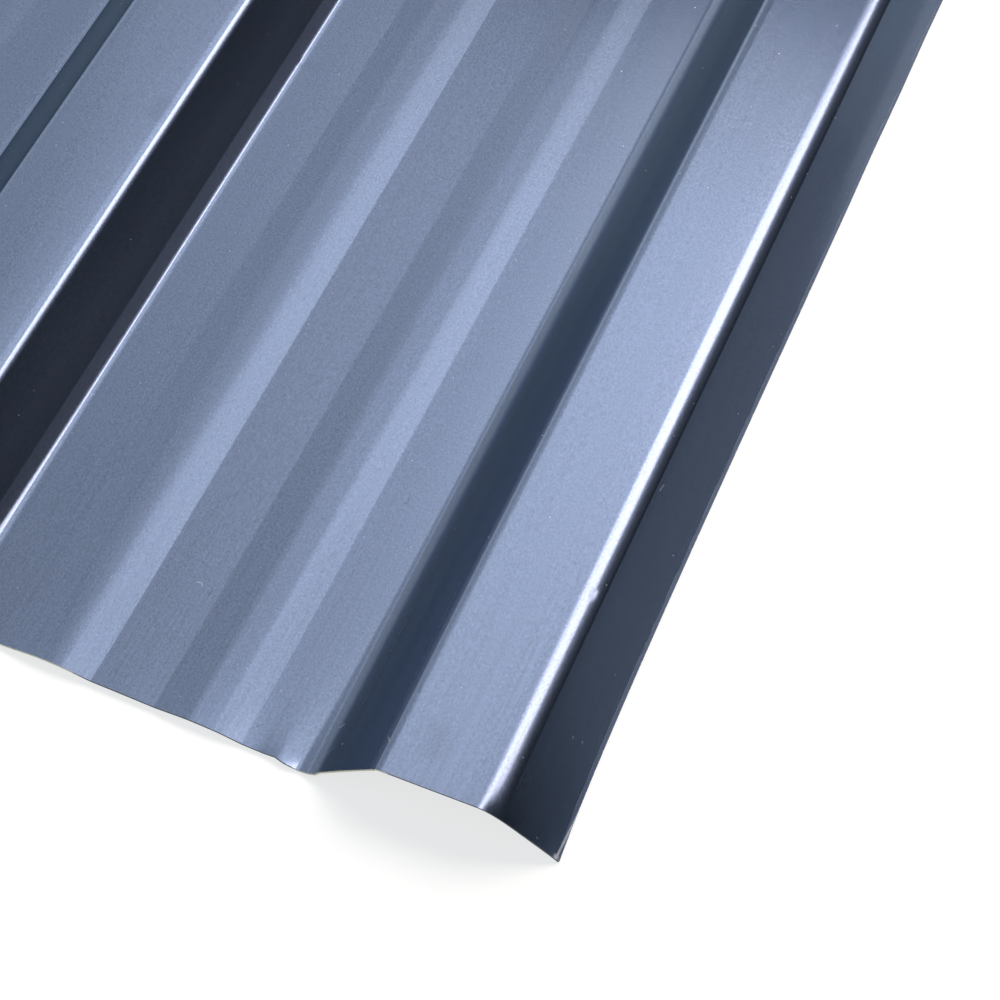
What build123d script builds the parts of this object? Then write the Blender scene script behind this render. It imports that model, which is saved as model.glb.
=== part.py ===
from build123d import *
import math
import os

# One roll-formed steel sheet with trapezoidal ribs, lying flat on its pans, in millimetres.
# X runs across the ribs, Y runs along them and Z is up.
# The origin is in the middle of the sheet, on the surface that the sheet lies on.

# The sheet as a whole
sheet_length = 2000.0
rib_pitch = 200.0
rib_count = 6
gauge = 0.7

# A rib is a flat crown between two sloping webs, measured to the sharp corners of the upper face
rib_height = 20.0
crown_width = 36.5
web_run = 18.5

# Bends, measured on the hollow side of the metal
crown_bend_radius = 4.0
foot_bend_radius = 5.5

# Two shallow stiffening swages in each pan, rolled up from it with sharp folds
swage_spacing = 51.0
swage_width = 29.0
swage_top_width = 10.0
swage_height = 0.4

# Levels of the upper face
pan_level = gauge
swage_level = pan_level + swage_height
crown_level = pan_level + rib_height

# The cut edge at each side is square to its web, and its lower corner rests on the ground
web_angle = math.atan2(rib_height, web_run)
edge_level = gauge * math.cos(web_angle)
edge_drop = crown_level - edge_level
edge_offset = crown_width / 2 + edge_drop / math.tan(web_angle)

# A corner's bend is written as its two radii, on the upper face and on the underside
fold = (0.0, 0.0)
crown_bend = (crown_bend_radius + gauge, crown_bend_radius)
foot_bend = (foot_bend_radius, foot_bend_radius + gauge)


def crown_corners(centre):
    half = crown_width / 2
    return [
        (centre - half, crown_level, crown_bend),
        (centre + half, crown_level, crown_bend),
    ]


def swage_corners(centre):
    half_foot = swage_width / 2
    half_top = swage_top_width / 2
    return [
        (centre - half_foot, pan_level, fold),
        (centre - half_top, swage_level, fold),
        (centre + half_top, swage_level, fold),
        (centre + half_foot, pan_level, fold),
    ]


def pan_corners(centre):
    # from the foot of one rib to the foot of the next
    half = (rib_pitch - crown_width) / 2 - web_run
    return [
        (centre - half, pan_level, foot_bend),
        *swage_corners(centre - swage_spacing / 2),
        *swage_corners(centre + swage_spacing / 2),
        (centre + half, pan_level, foot_bend),
    ]


def upper_corners():
    # every corner of the upper face, from the left edge to the right edge
    first_rib = -(rib_count - 1) * rib_pitch / 2
    corners = [(first_rib - edge_offset, edge_level, fold)]
    for index in range(rib_count):
        rib = first_rib + index * rib_pitch
        corners += crown_corners(rib)
        if index < rib_count - 1:
            corners += pan_corners(rib + rib_pitch / 2)
    last_rib = -first_rib
    corners.append((last_rib + edge_offset, edge_level, fold))
    return corners


def heading(start, end):
    return math.atan2(end[1] - start[1], end[0] - start[0])


def underside(points):
    # the same bent line one gauge lower, square to the metal, with its corners kept sharp
    runs = [heading(start, end) for start, end in zip(points, points[1:])]
    headings_in = [runs[0], *runs]
    headings_out = [*runs, runs[-1]]
    moved = []
    for (x, z), heading_in, heading_out in zip(points, headings_in, headings_out):
        middle = (heading_in + heading_out) / 2
        reach = gauge / math.cos((heading_out - heading_in) / 2)
        moved.append((x + reach * math.sin(middle), z - reach * math.cos(middle)))
    return moved


def bent_line(points, radii):
    return FilletPolyline(*points, radius=radii[1:-1])


corners = upper_corners()
upper_points = [(x, z) for x, z, bend in corners]
upper_line = bent_line(upper_points, [bend[0] for x, z, bend in corners])
lower_line = bent_line(underside(upper_points), [bend[1] for x, z, bend in corners])

# The section is closed by the two cut edges and drawn out along the ribs, both ways from the middle
left_edge = Line(lower_line @ 0, upper_line @ 0)
right_edge = Line(upper_line @ 1, lower_line @ 1)
section = Plane.XZ * make_face([*upper_line.edges(), right_edge, *lower_line.edges(), left_edge])
corrugated_sheet = extrude(section, amount=sheet_length / 2, both=True)
corrugated_sheet.label = "corrugated_sheet"

box = corrugated_sheet.bounding_box()
print("overall width", round(box.size.X, 2), "length", round(box.size.Y, 2), "height", round(box.size.Z, 2))
print("web angle", round(math.degrees(web_angle), 2), "strip width", round(upper_line.length, 1))
print("solids", len(corrugated_sheet.solids()), "volume", round(corrugated_sheet.volume))

os.makedirs("parts", exist_ok=True)
export_step(corrugated_sheet, "parts/corrugated_sheet.step")
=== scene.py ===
# %% [markdown]
# # A roofing sheet with trapezoidal ribs
#
# The object is one strip of thin coated steel that rollers have bent into six flat-topped ribs with
# wide pans between them. There are no other parts, so everything that the eye sees comes from three
# things: how the strip is bent, how its coating takes the light, and what the light around it is.
#
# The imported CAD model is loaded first. It says where the sheet is and how large it may be.

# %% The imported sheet
import bpy
import math
import numpy as np
from mathutils import Matrix, Vector


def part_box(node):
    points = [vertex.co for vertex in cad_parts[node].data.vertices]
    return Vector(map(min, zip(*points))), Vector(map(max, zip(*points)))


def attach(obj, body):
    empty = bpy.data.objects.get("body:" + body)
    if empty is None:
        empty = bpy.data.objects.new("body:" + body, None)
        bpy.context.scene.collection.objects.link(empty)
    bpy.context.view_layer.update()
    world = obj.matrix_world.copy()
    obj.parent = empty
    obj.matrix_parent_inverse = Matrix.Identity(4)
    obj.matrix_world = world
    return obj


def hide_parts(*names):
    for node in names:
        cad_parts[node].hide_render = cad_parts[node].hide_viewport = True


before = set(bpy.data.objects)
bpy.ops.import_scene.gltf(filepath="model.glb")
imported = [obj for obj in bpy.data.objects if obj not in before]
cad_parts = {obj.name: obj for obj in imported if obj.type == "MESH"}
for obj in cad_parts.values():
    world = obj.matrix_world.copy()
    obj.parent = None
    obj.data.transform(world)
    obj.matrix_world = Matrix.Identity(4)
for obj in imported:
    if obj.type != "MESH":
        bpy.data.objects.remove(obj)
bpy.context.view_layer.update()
LOW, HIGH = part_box("corrugated_sheet")
MM = 0.001

print("sheet from", [round(v, 4) for v in LOW], "to", [round(v, 4) for v in HIGH])

# %% [markdown]
# # The camera
#
# A flat object with long straight lines shows every error of the viewpoint, so the camera is set
# before anything is made. It stands over one corner, looks down and along the ribs, and has a
# fairly long lens. It could be aimed with a Track To constraint, but three turns written as one
# matrix keep the small roll of the hand that held it: lean it back from straight down, turn it round
# the vertical, and roll it about its own axis.

# %% Camera over the corner
CAMERA_PLACE = Vector((0.6316, -1.3086, 0.7058))
CAMERA_TURN = math.radians(20.3)
CAMERA_LEAN = math.radians(32.5)
CAMERA_ROLL = math.radians(3.7)
LENS = 94.6

camera_data = bpy.data.cameras.new("corner_camera")
camera_data.lens = LENS
camera_data.sensor_width = 36.0
camera_data.clip_start = 0.01
camera = bpy.data.objects.new("corner_camera", camera_data)
bpy.context.scene.collection.objects.link(camera)
camera.matrix_world = (
    Matrix.Translation(CAMERA_PLACE)
    @ Matrix.Rotation(CAMERA_TURN, 4, "Z")
    @ Matrix.Rotation(CAMERA_LEAN, 4, "X")
    @ Matrix.Rotation(CAMERA_ROLL, 4, "Z")
)
bpy.context.scene.camera = camera
print("camera", round((CAMERA_PLACE - Vector((HIGH.x, LOW.y, 0.0))).length, 3), "m from the corner")

# %% [markdown]
# # The rolled section
#
# Rollers bend a strip line by line, so the section is described as they make it: a walk along the
# strip. Each stroke has a length and the slope at its two ends, in degrees, where down to the right
# is positive. A stroke whose slope doesn't change is flat metal, and one whose slope changes is a
# bend. The same section could be drawn with a curve and bevel, but a walk keeps the length of the
# metal, and every size in it can be checked with a bevel gauge.
#
# A rib has a slightly domed crown, a rounded shoulder, a straight web, and a foot that turns in two
# steps: first to a narrow facet and then into the pan. The shoulder on the right of a rib is
# sharper than the one on the left, and the outermost one is the widest of all and shows a faint
# second crease. Each pan has two low swages that stiffen it, rolled with folds that are almost sharp.

# %% Sizes of the section, in millimetres and degrees
PITCH = 200.0
RIBS = 6
GAUGE = 0.7
RIB_HEIGHT = 20.0
CROWN_HALF = 18.3
CROWN_DOME = 0.4
WEB_SLOPE = 46.8

# the middles of the last rib, which stands at the near right side, and of the next one to its left
LAST_RIB = (RIBS - 1) * PITCH / 2
NEXT_RIB = LAST_RIB - PITCH

# a bend is a list of (length, slope at its end, number of steps)
RIGHT_BEND = [(2.3, 6.0, 3), (0.6, 15.5, 2), (0.45, 29.0, 2), (1.0, 36.0, 2), (1.2, WEB_SLOPE, 2)]
LEFT_BEND = [(1.6, 9.0, 3), (1.6, 24.0, 3), (1.3, 38.0, 3), (1.6, WEB_SLOPE, 2)]
OUTER_BEND = [
    (2.3, 12.0, 2), (2.1, 24.0, 5), (1.0, 27.0, 2),
    (0.7, 29.5, 1), (1.0, 30.5, 1), (1.0, WEB_SLOPE, 2),
]
RIGHT_FOOT = [(0.6, 43.0, 2), (3.8, 42.6, 2), (0.8, 34.0, 2), (0.4, 15.0, 5), (1.7, 0.0, 2)]
LEFT_FOOT = [(4.5, 39.0, 2), (3.0, 34.0, 2), (2.5, 32.5, 2), (1.5, 3.0, 5), (0.6, 0.0, 2)]
SLIT_EDGE = [(0.3, 50.0, 1), (1.5, 50.0, 1)]

SWAGE_CENTRE = 25.5
SWAGE_SLOPE = 2.9
SWAGE_WIDTH = 30.0

# a swage is a list of (length, share of the swage slope at its end, number of steps)
FIRST_SWAGE = [
    (0.5, -1.0, 1), (8.0, -1.0, 2), (3.2, 0.0, 3), (3.0, 0.0, 1),
    (8.4, 1.4, 4), (6.4, 1.4, 2), (0.5, 0.0, 1),
]
SECOND_SWAGE = [
    (0.5, -1.0, 1), (9.2, -1.0, 2), (3.6, 0.0, 3), (6.4, 0.0, 1),
    (3.4, 1.15, 3), (6.4, 1.15, 2), (0.5, 0.0, 1),
]


# %% Strokes of half a rib
# a stroke is (length, slope at its start, slope at its end, number of steps)
def across(strokes):
    """How far a run of strokes goes sideways and up."""
    x = z = 0.0
    for length, start, end, _ in strokes:
        middle = math.radians((start + end) / 2)
        half_turn = math.radians((end - start) / 2)
        chord = length * (math.sin(half_turn) / half_turn if half_turn else 1.0)
        x += chord * math.cos(middle)
        z -= chord * math.sin(middle)
    return x, z


def turned(bends, start):
    """The strokes of one bend after the other."""
    strokes = []
    for length, end, steps in bends:
        strokes.append((length, start, end, steps))
        start = end
    return strokes


def shoulder(bends):
    """From the middle of a crown to the top of its web, with the web on its own line."""
    curve = turned(bends, CROWN_DOME)
    sideways, up = across(curve)
    flat = CROWN_HALF - sideways - up / math.tan(math.radians(WEB_SLOPE))
    return [(flat, 0.0, CROWN_DOME, 5), *curve]


def rib_side(bends, low_end, web_steps, drop=RIB_HEIGHT):
    """The shoulder, the web and what is below it, down to the given drop."""
    above = shoulder(bends)
    below = turned(low_end, WEB_SLOPE)
    rest = drop + across(above)[1] + across(below)[1]
    web = rest / math.sin(math.radians(WEB_SLOPE))
    return [*above, (web, WEB_SLOPE, WEB_SLOPE, web_steps), *below]


def mirrored(strokes):
    return [(length, -end, -start, steps) for length, start, end, steps in reversed(strokes)]


# %% Strokes of a pan with its two swages
def swage(shape, slope):
    return turned([(length, share * slope, steps) for length, share, steps in shape], 0.0)


def pan(slope, left_rib, right_rib):
    """From one rib's foot to the next. The last flat climbs back to the level of the first, and makes
    up the width, so that the ribs stay one pitch apart."""
    beside_swage = PITCH / 2 - SWAGE_CENTRE - SWAGE_WIDTH / 2
    middle_flat = 2 * SWAGE_CENTRE - SWAGE_WIDTH
    strokes = [
        (beside_swage - left_rib, 0.0, 0.0, 4),
        *swage(FIRST_SWAGE, slope),
        (middle_flat, 0.0, 0.0, 4),
        *swage(SECOND_SWAGE, slope),
    ]
    sideways, up = across(strokes)
    left_over = PITCH - left_rib - right_rib - sideways
    climb = math.degrees(math.atan2(up, left_over))
    return [*strokes, (math.hypot(left_over, up), climb, climb, 5)]


# %% [markdown]
# # Walking the section
#
# The two outer webs of the sheet have no foot. They run down until the slit edge stands on the
# ground. Walking every stroke in small steps gives the points of the upper face. The same walk is
# made again with other values for the metal at the cut end, and both walks have the same number of
# points, so the sheet can change gradually from one to the other.

# %% Points of the upper face
EDGE_LEVEL = GAUGE * math.cos(math.radians(WEB_SLOPE))


def walk(strokes, x, z):
    """The points that are passed on the way, from a place at the left."""
    points = [(x, z)]
    for length, start, end, steps in strokes:
        turn = (end - start) / steps
        for step in range(steps):
            slope = start + turn * step
            dx, dz = across([(length / steps, slope, slope + turn, 1)])
            x += dx
            z += dz
            points.append((x, z))
    return np.array(points)


def section(right_foot=RIGHT_FOOT, left_foot=LEFT_FOOT, left_bend=LEFT_BEND,
            outer_bend=OUTER_BEND, swage_slope=SWAGE_SLOPE):
    """The upper face across the whole sheet, as rows of x and z."""
    right = rib_side(RIGHT_BEND, right_foot, web_steps=3)
    left = rib_side(left_bend, left_foot, web_steps=3)
    outer = rib_side(outer_bend, SLIT_EDGE, web_steps=6, drop=RIB_HEIGHT + GAUGE - EDGE_LEVEL)
    between = pan(swage_slope, across(right)[0], across(left)[0])
    strokes = mirrored(outer)
    for _ in range(RIBS - 1):
        strokes += [*right, *between, *mirrored(left)]
    strokes += outer
    return walk(strokes, -LAST_RIB - across(outer)[0], EDGE_LEVEL)


SECTION = section()
print("points across", len(SECTION), "width", round(np.ptp(SECTION[:, 0]), 2))
print("top", round(SECTION[:, 1].max(), 2))

# %% [markdown]
# # Along the ribs
#
# The sheet is the same all the way along, apart from what cutting and handling did to it. It could be
# cut into even lengths and subdivided, but most of those points would lie where nothing changes. So
# the stations stand close together at the near cut end, where the metal springs out of shape, and at
# two small dents, and far apart in the middle.

# %% Stations along the sheet
LENGTH = (HIGH.y - LOW.y) / MM

# a dent is its place on the sheet in mm, its reach across and along the rib, and its depth
SHOULDER_DENT = (LAST_RIB + 18.9, -918.0, 1.8, 3.2, 0.16)
FOOT_DENT = (NEXT_RIB + 39.4, -748.0, 2.0, 2.6, 0.16)
DENTS = (SHOULDER_DENT, FOOT_DENT)


def stations():
    at_cut = [0, 1.5, 3, 4.5, 6, 8, 10, 13, 16, 20, 25, 30, 36, 42, 50]
    near = np.concatenate([at_cut, np.arange(60, 300, 12.0), np.arange(300, 600, 30.0)])
    middle = np.arange(600, LENGTH - 120, 110.0)
    far = LENGTH - np.array([120, 70, 40, 18, 0.0])
    plain = np.concatenate([near, middle, far]) - LENGTH / 2
    through_dent = np.array([-1.0, -0.5, 0.0, 0.5, 1.0])
    at_dents = [place_y + long * through_dent for _, place_y, _, long, _ in DENTS]
    return np.unique(np.concatenate([plain, *at_dents]))


ALONG = stations()
FROM_CUT = ALONG + LENGTH / 2
print("stations", len(ALONG), "faces", 2 * len(ALONG) * len(SECTION))

# %% [markdown]
# # What cutting and handling did
#
# Rolling leaves stress in the strip, and the cut lets it go. Near the cut end the folds of the foot
# open into one round bend, the swages stand a little prouder, the left shoulders tighten, and the
# free side springs outward. Each of these fades along the ribs at its own rate. Rolling is never
# quite even either, so the pans bow up between the ribs, and the two near ribs lean. These amounts
# are a few tenths of a millimetre to a few millimetres, but on a glossy sheet they decide how every
# reflection bends. A sculpted or simulated sheet could show the same. Here each one is a simple
# function of place that is added to the points, so that each can be set by itself.

# %% Sections at the cut end, and how they fade
END_FOOT = [(1.0, 45.0, 2), (1.6, 40.0, 2), (3.4, 26.0, 2), (3.4, 8.0, 5), (1.6, 0.0, 2)]
NEAR_LEFT_FOOT = [(0.8, 45.5, 2), (2.2, 34.0, 2), (2.6, 32.5, 2), (1.5, 3.0, 5), (0.6, 0.0, 2)]
NEAR_LEFT_BEND = [(1.7, 9.5, 3), (0.4, 26.0, 3), (0.3, 42.0, 3), (2.1, WEB_SLOPE, 2)]
END_OUTER_BEND = [
    (1.4, 10.0, 2), (3.0, 23.0, 5), (1.8, 29.0, 2),
    (0.6, 33.5, 1), (0.6, 38.0, 1), (0.8, WEB_SLOPE, 2),
]
TIP_OUTER_BEND = [
    (2.0, 8.5, 2), (2.8, 23.0, 5), (1.9, 31.0, 2),
    (0.8, 37.0, 1), (0.8, 42.0, 1), (1.0, WEB_SLOPE, 2),
]
END_SWAGE_SLOPE = 6.4

# the next rib was rolled with a tighter left foot, along its whole length
TIGHT_LEFT_FOOT = [(4.5, 47.5, 2), (3.0, 47.5, 2), (2.2, 46.0, 2), (1.3, 3.0, 5), (0.6, 0.0, 2)]
WHOLE_LENGTH = 1e6
HALF_OF_LEFT_SIDE = 40.0


def near_cut(reach):
    """1 at the near cut end, and fading along the ribs within the reach."""
    return np.exp(-FROM_CUT / reach)[:, None]


def rolled_grid():
    """The section at every station, with its changes toward the cut end."""
    x, z = (np.repeat(SECTION[None, :, axis], len(ALONG), axis=0) for axis in (0, 1))
    y = np.repeat(ALONG[:, None], len(SECTION), axis=1)
    near_foot = section(left_foot=NEAR_LEFT_FOOT)
    end_bend = section(outer_bend=END_OUTER_BEND)
    beside_next = np.abs(SECTION[:, :1] - NEXT_RIB + HALF_OF_LEFT_SIDE) < HALF_OF_LEFT_SIDE
    changes = [
        (section(left_bend=NEAR_LEFT_BEND) - SECTION, 300.0),
        (near_foot - SECTION, 150.0),
        (section(right_foot=END_FOOT, left_foot=END_FOOT) - near_foot, 25.0),
        (section(swage_slope=END_SWAGE_SLOPE) - SECTION, 130.0),
        (end_bend - SECTION, 40.0),
        (section(outer_bend=TIP_OUTER_BEND) - end_bend, 5.0),
        (beside_next * (section(left_foot=TIGHT_LEFT_FOOT) - SECTION), WHOLE_LENGTH),
    ]
    for change, reach in changes:
        x += near_cut(reach) * change[:, 0]
        z += near_cut(reach) * change[:, 1]
    return x, y, z


# %% Pans that bow, in millimetres
PAN_BOW, PAN_BOW_AT_CUT, PAN_BOW_HALF = 0.15, 1.7, 62.0
RIDGE_AT_CUT, RIDGE_PLACE, RIDGE_HALF = 1.0, 53.0, 6.5


def hump(distance, half_width):
    """1 in the middle and 0 from the half width outward, with a slope that doesn't jump at its top."""
    return np.clip(1.0 - (distance / half_width) ** 2, 0.0, 1.0)


def bow_pans(x, z):
    """At the cut a pan bows more, and a short ridge stands on the right of its middle."""
    for index in range(RIBS - 1):
        from_middle = x - (-LAST_RIB + PITCH * (index + 0.5))
        z += (PAN_BOW + PAN_BOW_AT_CUT * near_cut(25)) * hump(from_middle, PAN_BOW_HALF)
        z += RIDGE_AT_CUT * near_cut(6) * hump(from_middle - RIDGE_PLACE, RIDGE_HALF) ** 2


# %% The next rib, in millimetres and degrees
RIB_REACH = 45.0

# values near the cut, and what is added to them farther along the rib
NEXT_TILT, NEXT_TILT_BEYOND = 2.3, 1.2
NEXT_DOME, NEXT_DOME_BEYOND = 0.5, -0.35
BEYOND_FROM, BEYOND_FADE = 130.0, 80.0

# amounts, then places beside the rib's middle and reaches to either side of them
NEXT_DOME_HALF = 17.0
NEXT_CROWN_DROP = 0.4
NEXT_WEB_PRESSED, NEXT_WEB_PLACE, NEXT_WEB_HALF = 1.0, -31.5, 9.5
NEXT_SHOULDER_IN, NEXT_SHOULDER_PLACE = 1.45, 18.0
NEXT_FOOT_OUT, NEXT_FOOT_PLACE, NEXT_FOOT_HALF = 0.9, 38.5, 14.0


def on_rib(x, z, rib):
    """How far a point is to the right of a rib's middle, and its height on the rib from 0 to 1."""
    aside = x - rib
    height = np.clip((z - GAUGE) / RIB_HEIGHT, 0.0, 1.0)
    return aside, height * (np.abs(aside) < RIB_REACH)


def lean_next_rib(x, z):
    """Its crown is tilted down to the right, its left web is pressed in above the foot, its right
    shoulder stands in, and its right foot stands out."""
    aside, height = on_rib(x, z, NEXT_RIB)
    beyond = np.clip((FROM_CUT - BEYOND_FROM) / BEYOND_FADE, 0.0, 1.0)[:, None]
    tilt = np.tan(np.radians(NEXT_TILT + NEXT_TILT_BEYOND * beyond)) * aside
    dome = (NEXT_DOME + NEXT_DOME_BEYOND * beyond) * hump(aside, NEXT_DOME_HALF)
    z += height * (dome - tilt - NEXT_CROWN_DROP)
    z -= NEXT_WEB_PRESSED * hump(aside - NEXT_WEB_PLACE, NEXT_WEB_HALF) ** 2
    x -= height * NEXT_SHOULDER_IN * np.clip(aside / NEXT_SHOULDER_PLACE, -0.2, 1.0)
    x += NEXT_FOOT_OUT * hump(aside - NEXT_FOOT_PLACE, NEXT_FOOT_HALF)


# %% The last rib, in millimetres and degrees
LAST_TILT, LAST_TILT_REACH = 1.2, 20.0
LAST_SHIFT, LAST_SHIFT_AT_CUT = 0.6, 0.3
OUTER_SHOULDER_OUT, OUTER_SHOULDER_PLACE = 0.8, 15.0
LEFT_SHOULDER_IN, LEFT_SHOULDER_IN_AT_CUT = 0.25, 1.4
LEFT_SHOULDER_PLACE, LEFT_SHOULDER_HALF = -17.0, 14.0
ROLLED_DOWN_AT_CUT, ROLLED_DOWN_PLACE, ROLLED_DOWN_HALF = 0.75, 19.2, 5.0


def lean_last_rib(x, z):
    """It stands a little to the right, with its crown tilted that way and its left shoulder drawn
    in. The blade has rolled its outer shoulder down over the last few millimetres."""
    aside, height = on_rib(x, z, LAST_RIB)
    across_crown = np.clip(aside, -LAST_TILT_REACH, LAST_TILT_REACH)
    z -= height * math.tan(math.radians(LAST_TILT)) * across_crown
    rolled_down = hump(aside - ROLLED_DOWN_PLACE, ROLLED_DOWN_HALF) ** 2
    z -= ROLLED_DOWN_AT_CUT * near_cut(4.5) * rolled_down
    shift = LAST_SHIFT + LAST_SHIFT_AT_CUT * near_cut(150)
    x += height * (shift + OUTER_SHOULDER_OUT * np.clip(aside / OUTER_SHOULDER_PLACE, 0.0, 1.0))
    drawn_in = LEFT_SHOULDER_IN + LEFT_SHOULDER_IN_AT_CUT * near_cut(230)
    x += drawn_in * hump(aside - LEFT_SHOULDER_PLACE, LEFT_SHOULDER_HALF) * height


# %% The free side, in millimetres
SPLAY = 0.6
SPLAY_LESS_HALFWAY = 0.8
SPLAY_AT_CUT, SPLAY_AT_TIP = 3.4, 0.8
PULLED_BACK_AT_CUT = 2.6
ROLLED_UNDER_AT_TIP = 0.5

# where the sheet was held, the side goes out and its lip goes under, both in shallow waves
HELD_FROM, HELD_FADE = 230.0, 120.0
HELD_OUT, HELD_UNDER = 0.4, 0.9
HELD_WAVE, HELD_WAVE_RADIAN = 0.3, 9.0

# the lip starts at this share of the way down the web
LIP_FROM = 0.6


def splay_free_side(x, y, z):
    """The free side springs out at the cut end, and its edge rolls under where the sheet was held."""
    drop = np.clip((GAUGE + RIB_HEIGHT - z) / RIB_HEIGHT, 0.0, 1.0) * (x > LAST_RIB)
    lip = (np.clip(drop - LIP_FROM, 0.0, 1.0 - LIP_FROM) / (1.0 - LIP_FROM)) ** 2
    drift = SPLAY_LESS_HALFWAY * np.sin(np.pi * FROM_CUT / LENGTH)[:, None]
    x += drop * (SPLAY - drift + SPLAY_AT_CUT * near_cut(70) + SPLAY_AT_TIP * near_cut(10))
    y += drop * PULLED_BACK_AT_CUT * near_cut(40)
    held = np.clip((FROM_CUT - HELD_FROM) / HELD_FADE, 0.0, 1.0)
    held = (held * (1.0 + HELD_WAVE * np.sin(FROM_CUT / HELD_WAVE_RADIAN)))[:, None]
    x += HELD_OUT * held * drop - HELD_UNDER * held * lip
    x -= ROLLED_UNDER_AT_TIP * near_cut(7) * lip


# %% The cut line, in millimetres
CUT_BACK = 0.8
CUT_BACK_OUTSIDE, OUTSIDE_FROM, OUTSIDE_WIDTH = 1.4, LAST_RIB - 18.0, 37.0
TONGUE_PLACE, TONGUE_HALF = LAST_RIB - 41.0, 6.0


def trim_end(x, y):
    """The blade went through a little askew. It cut more away from the last rib outward, and left a
    short tongue at the foot of that rib."""
    outside = np.clip((x - OUTSIDE_FROM) / OUTSIDE_WIDTH, 0.0, 1.0)
    in_line = np.abs(x - TONGUE_PLACE) > TONGUE_HALF
    y += (CUT_BACK + CUT_BACK_OUTSIDE * outside) * near_cut(40) * in_line


# %% Dents, and the two faces
PRESSED_ASIDE = PRESSED_DOWN = 0.7


def press_dents(x, y, z):
    """A dent goes in square to the web, as far to the side as it goes down."""
    for place_x, place_y, wide, long, depth in DENTS:
        pressed = depth * (hump(x - place_x, wide) * hump(y - place_y, long)) ** 2
        x -= PRESSED_ASIDE * pressed
        z -= PRESSED_DOWN * pressed


def surface_grids():
    """The upper face, and the lower face one gauge below it, in metres."""
    x, y, z = rolled_grid()
    bow_pans(x, z)
    lean_next_rib(x, z)
    lean_last_rib(x, z)
    splay_free_side(x, y, z)
    trim_end(x, y)
    press_dents(x, y, z)
    upper = np.stack([x, y, z], axis=-1)
    normal = np.cross(np.gradient(upper, axis=1), np.gradient(upper, axis=0))
    normal /= np.linalg.norm(normal, axis=-1, keepdims=True)
    lower = upper - GAUGE * normal
    lower[..., 2] = np.maximum(lower[..., 2], 0.0)
    return upper * MM, lower * MM


UPPER, LOWER = surface_grids()
print("width", round(np.ptp(UPPER[..., 0]) / MM, 2), "lowest", round(LOWER[..., 2].min() / MM, 3))
print("highest", round(UPPER[..., 2].max() / MM, 3))

# %% [markdown]
# # One closed mesh
#
# Both faces and the four cut edges make one closed skin, as on the real sheet. The Solidify modifier
# could add the thickness too. Here the faces are joined in code, because the cut edges get their own
# finish and sharp borders, and bare metal shows there.

# %% Faces of the sheet
COATED, BACKING, CUT = 0, 1, 2


def grid_faces(rows, columns, first, flip):
    r = np.arange(rows - 1)[:, None] * columns
    c = np.arange(columns - 1)[None, :]
    a = first + r + c
    quads = np.stack([a, a + 1, a + 1 + columns, a + columns], axis=-1).reshape(-1, 4)
    return quads[:, ::-1] if flip else quads


def rim_faces(rim, size):
    return np.stack([rim[:-1], rim[:-1] + size, rim[1:] + size, rim[1:]], axis=-1)


def sheet_faces(rows, columns):
    """All faces as point numbers, the finish of each, and the points of the upper face's rims."""
    size = rows * columns
    index = np.arange(size).reshape(rows, columns)
    rims = [index[0], index[:, -1], index[-1][::-1], index[:, 0][::-1]]
    top = grid_faces(rows, columns, 0, False)
    bottom = grid_faces(rows, columns, size, True)
    rim = np.concatenate([rim_faces(one, size) for one in rims])
    finish = np.repeat([COATED, BACKING, CUT], [len(top), len(bottom), len(rim)])
    return np.concatenate([top, bottom, rim]), finish, np.unique(np.concatenate(rims))


# %% Mesh of the sheet
def sharpen_rims(mesh, rim_points, size):
    """Marks each edge that lies along a rim, on either face, as sharp."""
    on_rim = np.zeros(2 * size, bool)
    on_rim[rim_points] = True
    on_rim[rim_points + size] = True
    ends = np.empty(2 * len(mesh.edges), np.int32)
    mesh.edges.foreach_get("vertices", ends)
    ends = ends.reshape(-1, 2)
    same_face = (ends[:, 0] < size) == (ends[:, 1] < size)
    mesh.edges.foreach_set("use_edge_sharp", on_rim[ends].all(axis=1) & same_face)


def build_sheet():
    rows, columns = UPPER.shape[:2]
    faces, finish, rim_points = sheet_faces(rows, columns)
    points = np.concatenate([UPPER.reshape(-1, 3), LOWER.reshape(-1, 3)])
    mesh = bpy.data.meshes.new("rolled_sheet")
    mesh.from_pydata(points.tolist(), [], faces.tolist())
    mesh.polygons.foreach_set("material_index", finish.astype(np.int32))
    mesh.polygons.foreach_set("use_smooth", np.ones(len(faces), bool))
    sharpen_rims(mesh, rim_points, rows * columns)
    mesh.update()
    mesh.validate()
    return mesh


sheet_mesh = build_sheet()
print("sheet mesh:", len(sheet_mesh.vertices), "points,", len(sheet_mesh.polygons), "faces")

# %% [markdown]
# # Distances that the finishes read
#
# Paint chips at edges, and streaks fade away from the cut, so a finish has to know how far a point is
# from them. A mask could be painted by hand or measured with an Ambient Occlusion node. Here each
# point simply carries its two distances as attributes, because the grid of points knows them exactly.

# %% Distances from the slit sides and the cut ends, in millimetres
def store_distance(name, distances):
    attribute = sheet_mesh.attributes.new(name, "FLOAT", "POINT")
    attribute.data.foreach_set("value", np.tile(distances.ravel(), 2).astype(np.float32))


strip_steps = np.linalg.norm(np.diff(SECTION, axis=0), axis=1)
strip_place = np.concatenate([[0.0], np.cumsum(strip_steps)])
from_side = np.minimum(strip_place, strip_place[-1] - strip_place)
from_end = np.minimum(FROM_CUT, LENGTH - FROM_CUT)
store_distance("from_slit_side", np.repeat(from_side[None, :], len(ALONG), axis=0))
store_distance("from_cut_end", np.repeat(from_end[:, None], len(SECTION), axis=1))
print("strip before rolling:", round(strip_place[-1], 1), "by", round(LENGTH, 1), "mm")

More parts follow.
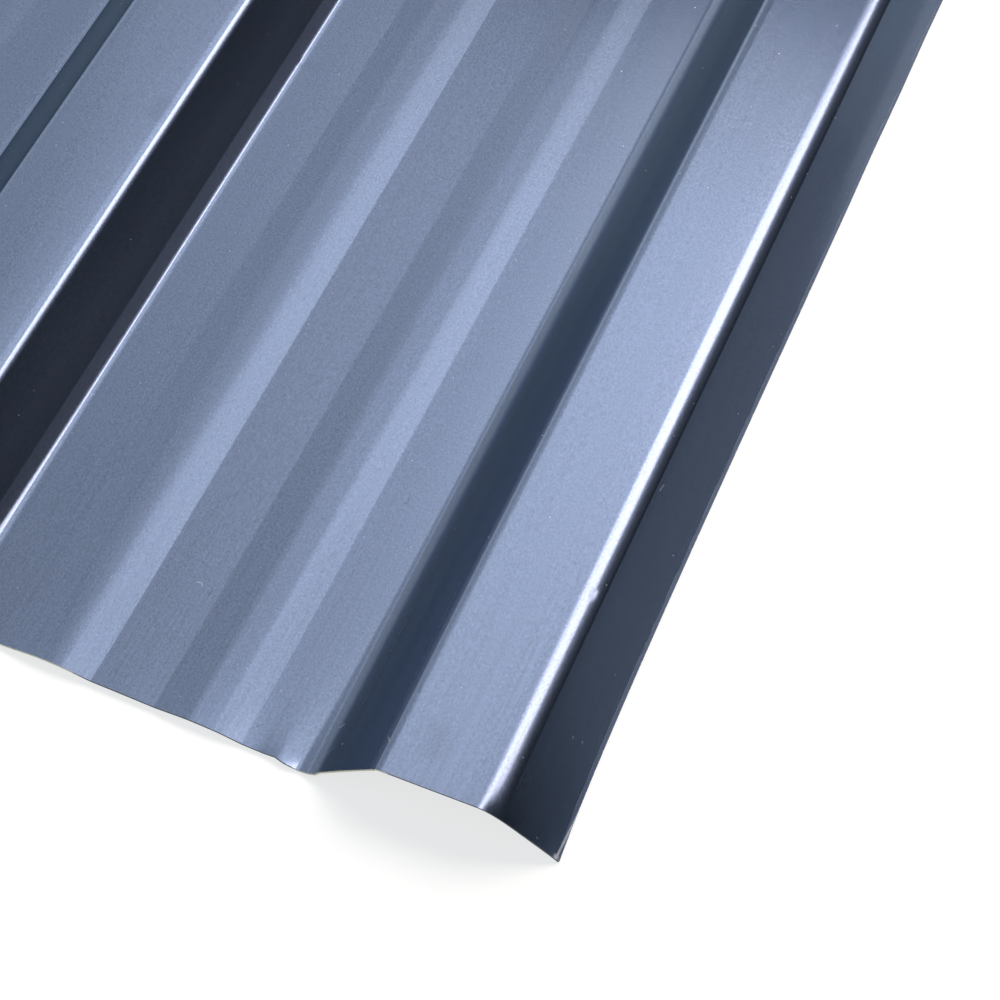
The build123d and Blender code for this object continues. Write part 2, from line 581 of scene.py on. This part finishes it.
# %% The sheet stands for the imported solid
sheet = bpy.data.objects.new("rolled_sheet", sheet_mesh)
bpy.context.scene.collection.objects.link(sheet)
weighted = sheet.modifiers.new("even_shading", "WEIGHTED_NORMAL")
weighted.keep_sharp = True

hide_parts("corrugated_sheet")
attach(sheet, "root")

# %% [markdown]
# # Finishes
#
# The rest of the object is finish. A sheet like this has a coloured coating on its outer face, a
# plain backing coat underneath, and bare metal where a blade went through. They share some effects:
# the fine grain of rolled paint, streaks along the ribs, dust, and wear at the edges. Each effect is
# a shader node group, made once and placed in each material with its own values. Painted or
# photographed textures could be used too, but a procedural effect stays sharp at any distance. All
# sizes in the groups are millimetres on the sheet.

# %% Helpers for nodes
def join(tree, value, socket):
    """Links a socket, or writes a plain value."""
    if isinstance(value, bpy.types.NodeSocket):
        tree.links.new(value, socket)
    else:
        socket.default_value = value


def node(tree, kind, inputs=None, **settings):
    made = tree.nodes.new("ShaderNode" + kind)
    for name, value in settings.items():
        setattr(made, name, value)
    for name, value in (inputs or {}).items():
        join(tree, value, made.inputs[name])
    return made


def calc(tree, operation, *values):
    made = node(tree, "Math", operation=operation)
    for value, socket in zip(values, made.inputs):
        join(tree, value, socket)
    return made.outputs[0]


def calc_vector(tree, operation, *values):
    made = node(tree, "VectorMath", operation=operation)
    for value, socket in zip(values, made.inputs):
        join(tree, value, socket)
    return made.outputs["Value" if operation in ("DOT_PRODUCT", "LENGTH") else "Vector"]


def most(tree, value, *others):
    """The largest of some values at each point."""
    for other in others:
        value = calc(tree, "MAXIMUM", value, other)
    return value


def ramp(tree, value, start, end, low=0.0, high=1.0):
    """Low at the start, high at the end, smooth between them and level outside."""
    inputs = {"Value": value, "From Min": start, "From Max": end, "To Min": low, "To Max": high}
    return node(tree, "MapRange", inputs, interpolation_type="SMOOTHSTEP").outputs["Result"]


# %% Helpers for groups
def new_group(name, inputs, outputs):
    """An empty group with its named sockets. A value of three numbers makes a vector socket."""
    tree = bpy.data.node_groups.new(name, "ShaderNodeTree")
    for label, value in inputs.items():
        kind = "NodeSocketVector" if isinstance(value, tuple) else "NodeSocketFloat"
        tree.interface.new_socket(label, in_out="INPUT", socket_type=kind).default_value = value
    for label in outputs:
        tree.interface.new_socket(label, in_out="OUTPUT", socket_type="NodeSocketFloat")
    return tree, tree.nodes.new("NodeGroupInput").outputs, tree.nodes.new("NodeGroupOutput").inputs


def use_group(tree, name, **values):
    """Places a group and gives its outputs. An underscore in a name stands for a space."""
    made = tree.nodes.new("ShaderNodeGroup")
    made.node_tree = bpy.data.node_groups[name]
    for label, value in values.items():
        join(tree, value, made.inputs[label.replace("_", " ")])
    return made.outputs


def place_on_sheet(tree):
    """Where a point is, in millimetres."""
    coordinates = node(tree, "TexCoord").outputs["Object"]
    scaled = node(tree, "VectorMath", {"Vector": coordinates, "Scale": 1.0 / MM}, operation="SCALE")
    return scaled.outputs["Vector"]


def stretched_noise(tree, width, length, shift=0.0, detail=2.0):
    """Noise with features of the given width, drawn out along the ribs to the given length. The
    shift reads another place in it, so that two effects don't repeat each other."""
    cell = node(tree, "CombineXYZ", {"X": width, "Y": length, "Z": width}).outputs[0]
    place = calc_vector(tree, "DIVIDE", place_on_sheet(tree), cell)
    moved = calc_vector(tree, "ADD", place, (shift, shift * 0.7, shift * 0.3))
    inputs = {"Vector": moved, "Scale": 1.0, "Detail": detail, "Roughness": 0.6}
    return node(tree, "TexNoise", inputs).outputs[0]


# %% [markdown]
# # Paint grain
#
# Paint that is rolled onto moving strip dries with a very fine orange peel, a few tenths of a
# millimetre across and drawn out a little along the strip. It makes the metal sparkle softly where a
# reflection changes. It could be a real displacement of the mesh, but that would take a hundred
# million points. So the group gives a height for a Bump node, a fine tone for the colour, and a tint
# that is three times as coarse. They come from three places in the same noise.

# %% Group: paint grain
TINT_COARSENESS = 3.0


def make_paint_grain():
    inputs = {"Size": 0.45, "Length": 0.7}
    tree, given, result = new_group("paint_grain", inputs, ["Height", "Tone", "Tint"])
    join(tree, stretched_noise(tree, given["Size"], given["Length"]), result["Height"])
    join(tree, stretched_noise(tree, given["Size"], given["Length"], shift=41.0), result["Tone"])
    wide = calc(tree, "MULTIPLY", given["Size"], TINT_COARSENESS)
    join(tree, stretched_noise(tree, wide, wide, shift=17.0), result["Tint"])
    return tree


print("group:", make_paint_grain().name)

# %% [markdown]
# # Rolling streaks
#
# The rollers draw the strip out, and dirt on them leaves faint lines that run exactly along the ribs.
# They show most near the cut end, where this sheet was rubbed. A wave texture would give even
# stripes. Noise that is stretched some eighty times along the ribs gives lines of uneven width that
# come and go. The streak is 0.5 where there is none, so it can darken and brighten.

# %% Group: rolling streaks
FAR_STRENGTH = 0.25


def make_rolling_streaks():
    inputs = {"Width": 0.9, "Length": 70.0, "Reach": 90.0}
    tree, given, result = new_group("rolling_streaks", inputs, ["Streak"])
    from_end = node(tree, "Attribute", attribute_name="from_cut_end").outputs["Fac"]
    reaches = calc(tree, "DIVIDE", calc(tree, "MULTIPLY", from_end, -1.0), given["Reach"])
    faded = calc(tree, "EXPONENT", reaches)
    strength = calc(tree, "MULTIPLY_ADD", faded, 1.0 - FAR_STRENGTH, FAR_STRENGTH)
    noise = stretched_noise(tree, given["Width"], given["Length"], shift=7.0)
    lines = calc(tree, "SUBTRACT", noise, 0.5)
    join(tree, calc(tree, "MULTIPLY_ADD", lines, strength, 0.5), result["Streak"])
    return tree


print("group:", make_rolling_streaks().name)

# %% [markdown]
# # Dust and haze
#
# Dust lies on the sheet as single pale specks, half a millimetre across at most. They could be a
# scatter of tiny meshes, but a texture does it without a single face. A Voronoi texture gives one
# random point in each cell, and a random number for the cell says whether a speck lies there at all.
# Haze is the uneven gloss that hands and wet weather leave: wide, soft clouds that only change the
# roughness.

# %% Groups: dust and haze
SMALLEST_SPECK, LARGEST_SPECK = 0.4, 1.2
SPECK_CORE = 0.3
HAZE_LENGTH = 2.5


def make_dust():
    inputs = {"Spacing": 14.0, "Size": 0.3, "Share": 0.25}
    tree, given, result = new_group("dust", inputs, ["Speck"])
    cell = node(tree, "CombineXYZ", dict.fromkeys("XYZ", given["Spacing"])).outputs[0]
    place = calc_vector(tree, "DIVIDE", place_on_sheet(tree), cell)
    cells = node(tree, "TexVoronoi", {"Vector": place, "Scale": 1.0}, voronoi_dimensions="2D")
    chance = node(tree, "SeparateColor", {"Color": cells.outputs["Color"]}).outputs
    share_of_size = ramp(tree, chance["Green"], 0.0, 1.0, SMALLEST_SPECK, LARGEST_SPECK)
    size = calc(tree, "MULTIPLY", given["Size"], share_of_size)
    away = calc(tree, "MULTIPLY", cells.outputs["Distance"], given["Spacing"])
    speck = ramp(tree, away, size, calc(tree, "MULTIPLY", size, SPECK_CORE))
    present = calc(tree, "LESS_THAN", chance["Red"], given["Share"])
    join(tree, calc(tree, "MULTIPLY", speck, present), result["Speck"])
    return tree


def make_haze():
    tree, given, result = new_group("haze", {"Size": 60.0}, ["Haze"])
    length = calc(tree, "MULTIPLY", given["Size"], HAZE_LENGTH)
    join(tree, stretched_noise(tree, given["Size"], length, shift=3.0, detail=3.0), result["Haze"])
    return tree


print("groups:", make_dust().name, "and", make_haze().name)

# %% [markdown]
# # Edge wear and scuffs
#
# At a slit side the coating chips off in tiny bites, and the slitter's guide leaves a broken line just
# inside the edge. Both read the stored distances, and noise breaks them up. A scuff is a straight
# scratch between two points: its mask is 1 on the line and falls off with the distance from it.
# Longer, bent scratches are chains of such lines. Scratches could also be cut into the mesh, but they
# are thinner than the coating.

# %% Group: edge wear
BITE_CORE = 0.5
GUIDE_LINE_NOISE = 9.0
GUIDE_LINE_BREAKS = 6.0


def make_edge_wear():
    inputs = {"Bite": 0.7, "Bite Length": 2.5, "Line At": 1.7, "Line Width": 0.22}
    tree, given, result = new_group("edge_wear", inputs, ["Chips", "Line"])
    from_side = node(tree, "Attribute", attribute_name="from_slit_side").outputs["Fac"]
    broken = stretched_noise(tree, given["Bite Length"], given["Bite Length"], shift=29.0, detail=3.0)
    bite = calc(tree, "MULTIPLY", given["Bite"], ramp(tree, broken, 0.5, 0.75))
    chips = ramp(tree, from_side, bite, calc(tree, "MULTIPLY", bite, BITE_CORE))
    join(tree, chips, result["Chips"])
    away = calc(tree, "ABSOLUTE", calc(tree, "SUBTRACT", from_side, given["Line At"]))
    line = ramp(tree, away, given["Line Width"], 0.0)
    long_breaks = calc(tree, "MULTIPLY", given["Bite Length"], GUIDE_LINE_BREAKS)
    breaks = stretched_noise(tree, GUIDE_LINE_NOISE, long_breaks, shift=53.0)
    join(tree, calc(tree, "MULTIPLY", line, ramp(tree, breaks, 0.42, 0.6)), result["Line"])
    return tree


print("group:", make_edge_wear().name)


# %% Group: scuff
SHORTEST_SCUFF_SQUARED = 0.0001


def make_scuff():
    """The nearest point of the line is found first, as a share of the way along it."""
    inputs = {"From": (0.0, 0.0, 0.0), "To": (1.0, 0.0, 0.0), "Width": 0.25}
    tree, given, result = new_group("scuff", inputs, ["Mask"])
    flat = calc_vector(tree, "MULTIPLY", place_on_sheet(tree), (1.0, 1.0, 0.0))
    reach = calc_vector(tree, "SUBTRACT", given["To"], given["From"])
    here = calc_vector(tree, "SUBTRACT", flat, given["From"])
    along = calc_vector(tree, "DOT_PRODUCT", here, reach)
    whole = most(tree, calc_vector(tree, "DOT_PRODUCT", reach, reach), SHORTEST_SCUFF_SQUARED)
    share = node(tree, "Math", operation="DIVIDE", use_clamp=True)
    join(tree, along, share.inputs[0])
    join(tree, whole, share.inputs[1])
    to_nearest = {"Vector": reach, "Scale": share.outputs[0]}
    nearest = node(tree, "VectorMath", to_nearest, operation="SCALE").outputs[0]
    away = calc_vector(tree, "LENGTH", calc_vector(tree, "SUBTRACT", here, nearest))
    join(tree, ramp(tree, away, given["Width"], 0.0), result["Mask"])
    return tree


def scuffs(tree, lines):
    """The masks of many scratches as one. Each is (width, point, point, ...) with points in mm."""
    mask = 0.0
    for width, *points in lines:
        for start, end in zip(points, points[1:]):
            one = use_group(tree, "scuff", From=(*start, 0.0), To=(*end, 0.0), Width=width)
            mask = most(tree, mask, one["Mask"])
    return mask


print("group:", make_scuff().name)

# %% [markdown]
# # The coated face
#
# The coating is a thin, tinted film over bright metal, with a clear lacquer on top. It could be built
# as a plain dielectric paint, but then the sheet would look chalky: the photograph's wide, soft
# reflections take on the colour of the film, as they do on metal. So the shader is metallic, with a
# weak coat for the lacquer. Metal also brightens at a grazing angle, and the specular tint holds that
# back, because the film is darkest there.
#
# The colour runs between a darker and a lighter value of the same blue grey, led by the grain and the
# streaks. Two kinds of wear are mixed over it, and a painted highlight. Scratches and the guide's line
# go through to the bright metal, and the grain breaks up the longest ones. Chips and dust are pale and
# matt, and no longer metallic. The pale patch at the tip and along the free edge beside it is a
# painted highlight, which stands for the reflection of the curled edge, in the same pale and matt
# colour.

# %% Helpers for materials
def material(name):
    """An empty material with a shader, its nodes, and the shader's inputs."""
    made = bpy.data.materials.new(name)
    made.use_nodes = True
    made.node_tree.nodes.clear()
    output = made.node_tree.nodes.new("ShaderNodeOutputMaterial")
    shader = made.node_tree.nodes.new("ShaderNodeBsdfPrincipled")
    made.node_tree.links.new(shader.outputs["BSDF"], output.inputs["Surface"])
    return made, made.node_tree, shader.inputs


def blend(tree, factor, first, second):
    """A colour between two others. The Mix node keeps its colour sockets at places 6 and 7."""
    made = node(tree, "Mix", data_type="RGBA")
    for value, socket in ((factor, made.inputs[0]), (first, made.inputs[6]), (second, made.inputs[7])):
        join(tree, (*value, 1.0) if isinstance(value, tuple) else value, socket)
    return made.outputs[2]


def around_half(tree, *shares):
    """Adds up values that stand around 0.5, each with its weight, and keeps the sum around 0.5."""
    total = 0.5
    for value, weight in shares:
        total = calc(tree, "MULTIPLY_ADD", calc(tree, "SUBTRACT", value, 0.5), weight, total)
    return total


def relief(tree, height, depth, shader):
    """Lets a height that stands around 0.5 bend the shader's normal, with its depth in mm."""
    bump = node(tree, "Bump", {"Height": height, "Distance": depth * MM, "Strength": 1.0})
    join(tree, bump.outputs["Normal"], shader["Normal"])


# %% Coated face: scratches, marks and a painted highlight, as (width, point, point, ...) in millimetres
FOOT_SCRATCH = [
    (463.5, -1000), (463.8, -994), (465.8, -991), (467.5, -986), (468.3, -976), (468.3, -938),
]
SHOULDER_SCRATCH = [(482.3, -999), (482.3, -988), (481.6, -971), (481.0, -953), (480.6, -930)]
LONG_SCRATCHES = [(0.12, *FOOT_SCRATCH), (0.11, *SHOULDER_SCRATCH)]
SHORT_SCRATCHES = [
    (0.32, (483.0, -987.8), (483.9, -989.0)),
    (0.3, (464.8, -983.0), (465.6, -981.6)),
    (0.2, (402.2, -954.2), (403.6, -953.9), (404.4, -955.0)),
    (0.26, (523.6, -870.0), (523.3, -872.6)),
    (0.3, (530.6, -960.0), (530.9, -960.5)),
    (0.34, (533.4, -959.0), (533.6, -959.3)),
    (0.3, (533.4, -994.0), (533.7, -994.2)),
]
# painted highlight at the tip and along the free edge: a pale patch for the reflection of the curled
# edge
PAINTED_CORNER_HIGHLIGHTS = [
    (1.2, (539.6, -998.8), (540.1, -994.5)),
    (0.5, (540.2, -995), (540.6, -975)),
]
DARK_MARKS = [
    (0.3, (448.6, -901.2), (449.5, -900.4), (449.3, -898.6)),
    (0.26, (407.6, -957.0), (408.0, -955.0)),
    (0.3, (441.5, -992.0), (442.6, -990.8)),
]
SMUDGES = [(7.0, (497.0, -986.0), (496.0, -981.0)), (6.0, (312.0, -804.0), (313.0, -800.0))]
print(len(LONG_SCRATCHES + SHORT_SCRATCHES), "scratches,", len(PAINTED_CORNER_HIGHLIGHTS), "corner_highlights,",
      len(DARK_MARKS), "dark marks,", len(SMUDGES), "smudges")


# %% Coated face: masks of its wear
def coat_wear_and_sheen(tree, grain, speck):
    """Where the film is scratched to the metal, where it is pale and matt from chips and dust or from
    the painted highlight at the tip, and where it is dark.
    """
    wear = use_group(tree, "edge_wear", Bite=0.6, Bite_Length=2.2)

    def faint(lines, strength):
        return calc(tree, "MULTIPLY", scuffs(tree, lines), strength)

    short = faint(SHORT_SCRATCHES, 0.6)
    long = faint(LONG_SCRATCHES, ramp(tree, grain["Tint"], 0.2, 0.8, low=0.05, high=0.3))
    guide_line = calc(tree, "MULTIPLY", wear["Line"], 0.45)
    # painted highlight at the tip, mixed in with the pale chips and dust
    painted_corner_highlight = faint(PAINTED_CORNER_HIGHLIGHTS, ramp(tree, grain["Tint"], 0.2, 0.8, low=0.55, high=1.0))
    chips = calc(tree, "MULTIPLY", wear["Chips"], 0.6)
    dust = calc(tree, "MULTIPLY", speck, 0.6)
    dark = most(tree, faint(DARK_MARKS, 0.5), faint(SMUDGES, 0.14))
    return most(tree, short, long, guide_line), most(tree, painted_corner_highlight, chips, dust), dark


# %% Coated face: colour, gloss and relief
DARKER_COAT = (0.076, 0.101, 0.158)
LIGHTER_COAT = (0.145, 0.185, 0.289)
DARK_MARK = (0.03, 0.035, 0.05)
BARE_METAL = (0.50, 0.53, 0.58)
# the pale colour of dust, and also of the painted highlight at the tip
DUST_AND_SHEEN_COLOUR = (0.60, 0.63, 0.68)
GRAZING_TINT = (0.39, 0.465, 0.465, 1.0)
COAT_ROUGHNESS = 0.232
COAT_RELIEF = 0.0035


def finish_coated_face():
    made, tree, shader = material("blue_grey_coating")
    grain = use_group(tree, "paint_grain", Size=0.4, Length=0.85)
    streak = use_group(tree, "rolling_streaks", Width=0.85, Length=70.0, Reach=80.0)["Streak"]
    speck = use_group(tree, "dust", Spacing=13.0, Size=0.24, Share=0.22)["Speck"]
    haze = use_group(tree, "haze", Size=55.0)["Haze"]
    bare, chalk_and_sheen, dark = coat_wear_and_sheen(tree, grain, speck)

    film = around_half(tree, (grain["Tone"], 1.5), (grain["Tint"], 0.15), (streak, 0.6))
    colour = blend(tree, film, DARKER_COAT, LIGHTER_COAT)
    colour = blend(tree, dark, colour, DARK_MARK)
    colour = blend(tree, bare, colour, BARE_METAL)
    colour = blend(tree, chalk_and_sheen, colour, DUST_AND_SHEEN_COLOUR)
    join(tree, colour, shader["Base Color"])

    # the haze makes the gloss uneven, and wear and the painted highlight at the tip dull it
    gloss = calc(tree, "MULTIPLY_ADD", calc(tree, "SUBTRACT", haze, 0.5), 0.07, COAT_ROUGHNESS)
    worn_and_sheen = most(tree, bare, chalk_and_sheen)
    join(tree, calc(tree, "MULTIPLY_ADD", worn_and_sheen, 0.25, gloss), shader["Roughness"])
    metal = calc(tree, "MULTIPLY_ADD", grain["Tone"], -0.1, 1.0)
    join(tree, calc(tree, "MULTIPLY_ADD", chalk_and_sheen, -0.9, metal), shader["Metallic"])
    relief(tree, around_half(tree, (grain["Height"], 1.0), (streak, 0.4)), COAT_RELIEF, shader)
    shader["Specular Tint"].default_value = GRAZING_TINT
    shader["Coat Weight"].default_value = 0.4
    shader["Coat Roughness"].default_value = 0.1
    return made


coat = finish_coated_face()
print("material:", coat.name, "with", len(coat.node_tree.nodes), "nodes")

# %% [markdown]
# # The backing coat and the cut edges
#
# The underside has a thin grey washcoat: matt, uneven, and streaked along the strip. The cut edges are
# mostly painted dark slate, as painted shade for a cut face that stands in shadow, and are bare metal
# in other places. On this sheet the bare stretches come at even distances along the cut. They could be
# painted in by hand, but a cosine of the place across the sheet sets them with two numbers, and the
# grain roughens their borders.

# %% Backing coat
DARKER_BACKING = (0.33, 0.34, 0.33)
LIGHTER_BACKING = (0.47, 0.48, 0.46)
BACKING_RELIEF = 0.01


def finish_backing():
    made, tree, shader = material("backing_coat")
    grain = use_group(tree, "paint_grain", Size=0.8, Length=1.6)
    streak = use_group(tree, "rolling_streaks", Width=2.5, Length=180.0, Reach=400.0)["Streak"]
    haze = use_group(tree, "haze", Size=80.0)["Haze"]
    speck = use_group(tree, "dust", Spacing=18.0, Size=0.4, Share=0.15)["Speck"]
    chips = use_group(tree, "edge_wear", Bite=0.9, Bite_Length=3.0)["Chips"]
    film = around_half(tree, (grain["Tone"], 0.8), (streak, 1.0), (haze, 0.8))
    colour = blend(tree, film, DARKER_BACKING, LIGHTER_BACKING)
    colour = blend(tree, calc(tree, "MULTIPLY", speck, 0.5), colour, DUST_AND_SHEEN_COLOUR)
    colour = blend(tree, calc(tree, "MULTIPLY", chips, 0.7), colour, BARE_METAL)
    join(tree, colour, shader["Base Color"])
    join(tree, calc(tree, "MULTIPLY", chips, 0.8), shader["Metallic"])
    join(tree, around_half(tree, (haze, 0.3), (streak, 0.15)), shader["Roughness"])
    relief(tree, grain["Height"], BACKING_RELIEF, shader)
    return made


# %% Cut edges
# painted shade: the dark colour of the cut face where it stands in shadow, between the bare stretches
PAINTED_SHADE_ON_CUT = (0.045, 0.055, 0.08)
DULLER_CUT = (0.62, 0.58, 0.44)
BRIGHTER_CUT = (0.85, 0.81, 0.66)
BARE_STRETCH_AT = 472.0
BARE_STRETCH_EVERY = 102.0
CUT_RELIEF = 0.05


def finish_cut_edge():
    made, tree, shader = material("cut_edge")
    grain = use_group(tree, "paint_grain", Size=0.5, Length=0.5)
    place_x = node(tree, "SeparateXYZ", {"Vector": place_on_sheet(tree)}).outputs["X"]
    from_stretch = calc(tree, "SUBTRACT", place_x, BARE_STRETCH_AT)
    turns = calc(tree, "MULTIPLY", from_stretch, 2.0 * math.pi / BARE_STRETCH_EVERY)
    rough = calc(tree, "SUBTRACT", grain["Tint"], 0.5)
    bare = calc(tree, "MULTIPLY_ADD", rough, 1.2, calc(tree, "COSINE", turns))
    bare = ramp(tree, bare, 0.45, 0.75)
    steel = blend(tree, grain["Tone"], DULLER_CUT, BRIGHTER_CUT)
    join(tree, blend(tree, bare, PAINTED_SHADE_ON_CUT, steel), shader["Base Color"])
    join(tree, calc(tree, "MULTIPLY", bare, 0.35), shader["Metallic"])
    join(tree, around_half(tree, (grain["Tint"], 0.4)), shader["Roughness"])
    relief(tree, grain["Height"], CUT_RELIEF, shader)
    return made


# in the order of COATED, BACKING and CUT
for finish in (coat, finish_backing(), finish_cut_edge()):
    sheet_mesh.materials.append(finish)
print("finishes:", [finish.name for finish in sheet_mesh.materials])

# %% [markdown]
# # The floor
#
# The sheet lies on a plain pale floor. A floor that is white through light alone needs so much light
# that the object burns out. So the floor is a light grey that also glows for rays that come straight
# from the camera or by way of a mirror or glass. The glow and the lamp light together make white, and
# where the sheet takes the lamp light away, its soft shadow stays.

# %% Floor
FLOOR_HALF = 6.0
FLOOR_DROP = 0.3 * MM
FLOOR_GREY = 0.37
FLOOR_GLOW = 0.71


def floor_finish():
    made = bpy.data.materials.new("pale_floor")
    made.use_nodes = True
    tree = made.node_tree
    tree.nodes.clear()
    path = node(tree, "LightPath").outputs
    seen = most(tree, *(path[f"Is {kind} Ray"] for kind in ("Camera", "Glossy", "Transmission")))
    matt = node(tree, "BsdfDiffuse", {"Color": (FLOOR_GREY, FLOOR_GREY, FLOOR_GREY, 1.0)})
    glow = node(tree, "Emission", {"Strength": calc(tree, "MULTIPLY", seen, FLOOR_GLOW)})
    both = node(tree, "AddShader")
    join(tree, matt.outputs[0], both.inputs[0])
    join(tree, glow.outputs[0], both.inputs[1])
    node(tree, "OutputMaterial", {"Surface": both.outputs[0]})
    return made


corners = [(x * FLOOR_HALF, y * FLOOR_HALF, 0) for x, y in ((-1, -1), (1, -1), (1, 1), (-1, 1))]
floor_mesh = bpy.data.meshes.new("floor")
floor_mesh.from_pydata(corners, [], [(0, 1, 2, 3)])
floor_mesh.materials.append(floor_finish())
floor = bpy.data.objects.new("floor", floor_mesh)
floor.location.z = -FLOOR_DROP
bpy.context.scene.collection.objects.link(floor)
print("floor", 2 * FLOOR_HALF, "m across")

# %% [markdown]
# # The lamps
#
# A mirror-like sheet shows its lamps. They could be moved about by eye until the picture looks right,
# but it is quicker to place them by what they look like in the sheet. Each is a rectangle that faces
# the near corner and is given by the directions of its four borders, as seen from there. One broad
# soft box stands over the sheet and fills the crowns and pans, with a weaker one on each side of it.
# A narrow bright strip to their right makes the white line on every bend that turns to the right, and
# a faint glow beside the strip lets that line fade out. Weak fills on the left shade the slopes that
# turn to the left, and three dim cards stand low on the right, where only the steep webs look. The
# strip is a little warm, as its line is white and not blue.

# %% Lamps
CORNER = Vector((0.42, -0.82, 0.0))


def lamp(name, borders, radiance, tint=(1.0, 1.0, 1.0), turn=0, distance=3.0):
    """A soft rectangle that faces the corner. Its left and right borders are degrees to the side of
    straight up, and its front and back borders are degrees tipped away from the camera. The turn
    swings it round the vertical, in degrees from the ribs."""
    left, right, front, back = borders
    aside = math.radians((left + right) / 2)
    away = math.radians((front + back) / 2)
    level = math.cos(away)
    toward = Vector((level * math.sin(aside), math.sin(away), level * math.cos(aside)))
    side = Vector((math.cos(aside), 0.0, -math.sin(aside)))
    data = bpy.data.lights.new(name, "AREA")
    data.shape = "RECTANGLE"
    data.size = 2 * distance * math.tan(math.radians((right - left) / 2) * level)
    data.size_y = 2 * distance * math.tan(math.radians((back - front) / 2))
    data.energy = radiance * math.pi * data.size * data.size_y
    data.color = tint
    made = bpy.data.objects.new(name, data)
    facing = Matrix((side, toward.cross(side), toward)).transposed().to_4x4()
    around = Matrix.Rotation(math.radians(turn), 4, "Z")
    out = Matrix.Translation(toward * distance)
    made.matrix_world = Matrix.Translation(CORNER) @ around @ out @ facing
    bpy.context.scene.collection.objects.link(made)
    print(name, round(data.size, 2), "by", round(data.size_y, 2), "m")


lamp("low_side_fill", (-88, -66, 17, 37), 1.06, (0.99, 1.0, 0.97))
lamp("low_side_edge", (-66, -50, 17, 37), 1.65, (0.97, 1.0, 1.0))
lamp("low_side_back", (-88, -50, 37, 54), 1.7, (0.99, 1.0, 0.97))
lamp("side_fill", (-50, -23, 16, 46), 1.2, (0.97, 1.0, 1.01))
lamp("soft_box_fringe", (-23, -13.9, 16, 42.5), 1.42)
lamp("broad_soft_box", (-13.9, -4, 14, 43.9), 2.84)
lamp("soft_box_right", (-4, 8, 14, 42), 1.9)
lamp("bright_strip", (16, 44.5, 8, 37.5), 7.8, (1.15, 1.0, 0.92), turn=20, distance=2.9)
lamp("low_card", (78, 90, 41, 62), 0.66, (0.9, 1.0, 1.05))
lamp("low_card_front", (82, 90, 12, 27), 0.37, (0.86, 1.0, 1.1))
lamp("low_card_middle", (81, 90, 27, 41), 0.2, (0.88, 1.0, 1.06))
lamp("strip_glow", (45, 53.5, 8, 37.5), 0.33, (0.95, 1.0, 1.03), turn=20, distance=2.9)

# %% [markdown]
# # The room
#
# The room around the lamps is dim, and it is darkest to the right, which is what makes the webs on
# that side so dark. Behind the camera it is lighter, like the open side of a studio, so that the sheet
# is also well lit when it is seen from behind. The wall beyond the far end is pale, or a low look
# along the ribs would meet nothing but darkness in them. A picture of a studio could be wrapped round
# the scene instead, but two ramps do the same and stay plain: the world's strength follows the
# direction, through its dot product with the direction of the bright side, and through its Y.

# %% World
BRIGHT_SIDE = (-0.35, -0.9, 0.2)
BRIGHT_SIDE_BORDERS = (-0.15, 0.7)
FAR_WALL_BORDERS = (0.74, 0.94)
DIM = 0.045
BRIGHT = 0.5
FAR_WALL = 0.3
ROOM_COLOUR = (0.8, 1.0, 1.08, 1.0)

world = bpy.data.worlds.new("dim_room")
world.use_nodes = True
sky = world.node_tree
background = sky.nodes["Background"].inputs
direction = node(sky, "TexCoord").outputs["Generated"]
toward_light = calc_vector(sky, "DOT_PRODUCT", direction, BRIGHT_SIDE)
far = node(sky, "SeparateXYZ", {"Vector": direction}).outputs["Y"]
open_side = ramp(sky, toward_light, *BRIGHT_SIDE_BORDERS, DIM, BRIGHT)
far_wall = ramp(sky, far, *FAR_WALL_BORDERS, 0.0, FAR_WALL)
join(sky, calc(sky, "ADD", open_side, far_wall), background["Strength"])
background["Color"].default_value = ROOM_COLOUR
bpy.context.scene.world = world
bpy.context.scene.view_settings.view_transform = "Standard"
print("room from", DIM, "to", BRIGHT, "and the far wall", FAR_WALL)
